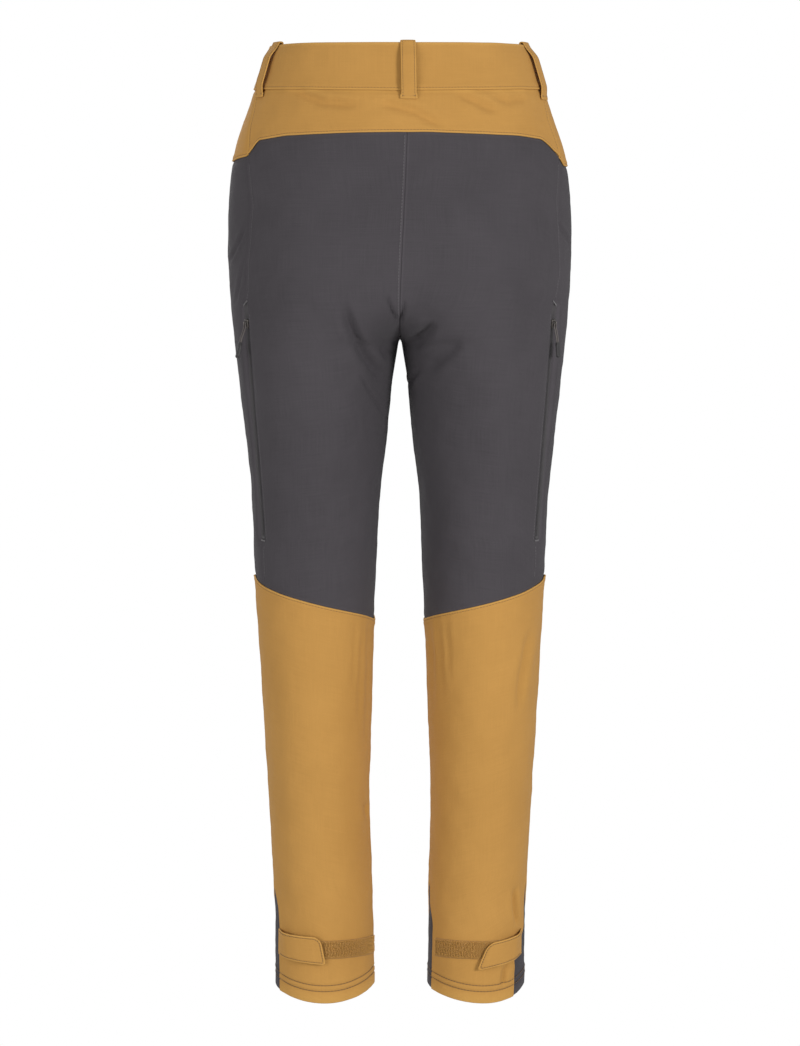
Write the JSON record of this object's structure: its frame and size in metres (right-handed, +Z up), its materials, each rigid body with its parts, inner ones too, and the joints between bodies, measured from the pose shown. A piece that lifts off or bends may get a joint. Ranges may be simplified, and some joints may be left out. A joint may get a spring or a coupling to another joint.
{
  "type": "outdoor trousers",
  "caption": "Women's light outdoor trousers with contrast seat and thighs, belt loops, fly, zipped hand pockets, zipped thigh vents and hook-and-loop ankle tabs.",
  "frame": {"origin": "centre of the waist opening, in the plane of the waistband's top edge", "axes": "+Z up towards the waist, +X towards the wearer's right, +Y towards the wearer's front"},
  "size_m": [0.3714, 0.2428, 1.02],
  "materials": {
    "ochre_cloth": "matte plain weave with slight stretch and a faint nap",
    "charcoal_cloth": "matte fine stretch weave",
    "pocket_mesh": "open knitted mesh",
    "zip_tape": "woven tape with a moulded coil",
    "zip_slider": "satin black coated",
    "pull_cord": "braided cord",
    "moulded_pull": "matte moulded",
    "snap_metal": "satin",
    "loop_pile": "looped pile",
    "hook_tape": "hook tape"
  },
  "bodies": {
    "garment": {"ankle_gusset_inner_left": "charcoal_cloth", "ankle_gusset_inner_right": "charcoal_cloth", "ankle_gusset_outer_left": "charcoal_cloth", "ankle_gusset_outer_right": "charcoal_cloth", "back_panel_left": "charcoal_cloth", "back_panel_right": "charcoal_cloth", "belt_loop_back": "ochre_cloth", "belt_loop_front_left": "ochre_cloth", "belt_loop_front_right": "ochre_cloth", "belt_loop_side_left": "ochre_cloth", "belt_loop_side_right": "ochre_cloth", "calf_panel_left": "ochre_cloth", "calf_panel_right": "ochre_cloth", "crotch_gusset": "charcoal_cloth", "fly_shield": "ochre_cloth", "fly_zip": "zip_tape", "front_panel_left": "charcoal_cloth", "front_panel_right": "charcoal_cloth", "hand_pocket_bag_left": "charcoal_cloth", "hand_pocket_bag_right": "charcoal_cloth", "hand_zip_left": "zip_tape", "hand_zip_right": "zip_tape", "loop_patch_left": "loop_pile", "loop_patch_right": "loop_pile", "shin_panel_left": "ochre_cloth", "shin_panel_right": "ochre_cloth", "side_panel_left": "charcoal_cloth", "side_panel_right": "charcoal_cloth", "side_zip_left": "zip_tape", "side_zip_right": "zip_tape", "snap_stud": "snap_metal", "vent_mesh_left": "pocket_mesh", "vent_mesh_right": "pocket_mesh", "waistband_back": "ochre_cloth", "waistband_facing": "ochre_cloth", "waistband_front_left": "ochre_cloth", "waistband_front_right": "ochre_cloth", "yoke_back": "ochre_cloth", "yoke_front_left": "ochre_cloth", "yoke_front_right": "ochre_cloth"},
    "waist_tab": {"waist_tab": "ochre_cloth", "snap_cap": "snap_metal", "snap_socket": "snap_metal"},
    "side_slider_left": {"side_slider_left": "zip_slider"},
    "side_pull_left": {"side_pull_cord_left": "pull_cord", "side_pull_end_left": "moulded_pull"},
    "hand_slider_left": {"hand_slider_left": "zip_slider"},
    "hand_pull_left": {"hand_pull_left": "moulded_pull"},
    "side_slider_right": {"side_slider_right": "zip_slider"},
    "side_pull_right": {"side_pull_cord_right": "pull_cord", "side_pull_end_right": "moulded_pull"},
    "hand_slider_right": {"hand_slider_right": "zip_slider"},
    "hand_pull_right": {"hand_pull_right": "moulded_pull"},
    "fly_slider": {"fly_slider": "zip_slider"},
    "fly_pull": {"fly_pull": "snap_metal"},
    "ankle_tab_right": {"ankle_tab_right": "ochre_cloth", "tab_hook_pad_right": "hook_tape"},
    "ankle_tab_left": {"ankle_tab_left": "ochre_cloth", "tab_hook_pad_left": "hook_tape"}
  },
  "joints": [
    {"name": "side_slider_left_slide", "type": "slide", "parent": "garment", "child": "side_slider_left", "axis": [0.0665, 0.1071, -0.992], "range_m": [0, 0.222]},
    {"name": "side_pull_left_swing", "type": "hinge", "parent": "side_slider_left", "child": "side_pull_left", "pos_m": [-0.16407, -0.06915, -0.29699], "axis": [-0.4319, 0.8994, 0.0681], "range_deg": [0, 140]},
    {"name": "hand_slider_left_slide", "type": "slide", "parent": "garment", "child": "hand_slider_left", "axis": [-0.3143, -0.2057, -0.9268], "range_m": [0, 0.116]},
    {"name": "hand_pull_left_swing", "type": "hinge", "parent": "hand_slider_left", "child": "hand_pull_left", "pos_m": [-0.13017, 0.07964, -0.14229], "axis": [0.6875, 0.6238, -0.3716], "range_deg": [0, 140]},
    {"name": "side_slider_right_slide", "type": "slide", "parent": "garment", "child": "side_slider_right", "axis": [-0.0665, 0.1071, -0.992], "range_m": [0, 0.222]},
    {"name": "side_pull_right_swing", "type": "hinge", "parent": "side_slider_right", "child": "side_pull_right", "pos_m": [0.16407, -0.06915, -0.29699], "axis": [-0.4319, -0.8994, -0.0681], "range_deg": [0, 140]},
    {"name": "hand_slider_right_slide", "type": "slide", "parent": "garment", "child": "hand_slider_right", "axis": [0.3143, -0.2057, -0.9268], "range_m": [0, 0.116]},
    {"name": "hand_pull_right_swing", "type": "hinge", "parent": "hand_slider_right", "child": "hand_pull_right", "pos_m": [0.13017, 0.07964, -0.14229], "axis": [0.6875, -0.6238, 0.3716], "range_deg": [0, 140]},
    {"name": "fly_slider_slide", "type": "slide", "parent": "garment", "child": "fly_slider", "axis": [0, 0.0614, -0.9981], "range_m": [0, 0.127]},
    {"name": "fly_pull_swing", "type": "hinge", "parent": "fly_slider", "child": "fly_pull", "pos_m": [0, 0.09529, -0.05948], "axis": [1, 0, 0], "range_deg": [0, 12]},
    {"name": "waist_tab_open", "type": "hinge", "parent": "garment", "child": "waist_tab", "pos_m": [0.02215, 0.10043, -0.02387], "axis": [-0.0005, 0.0876, -0.9962], "range_deg": [0, 110]},
    {"name": "ankle_tab_right_peel", "type": "hinge", "parent": "garment", "child": "ankle_tab_right", "pos_m": [0.13236, -0.0282, -0.96753], "axis": [0.016, -0.0068, 0.9998], "range_deg": [0, 150]},
    {"name": "ankle_tab_left_peel", "type": "hinge", "parent": "garment", "child": "ankle_tab_left", "pos_m": [-0.13236, -0.0282, -0.96753], "axis": [0.016, 0.0068, -0.9998], "range_deg": [0, 150]}
  ]
}
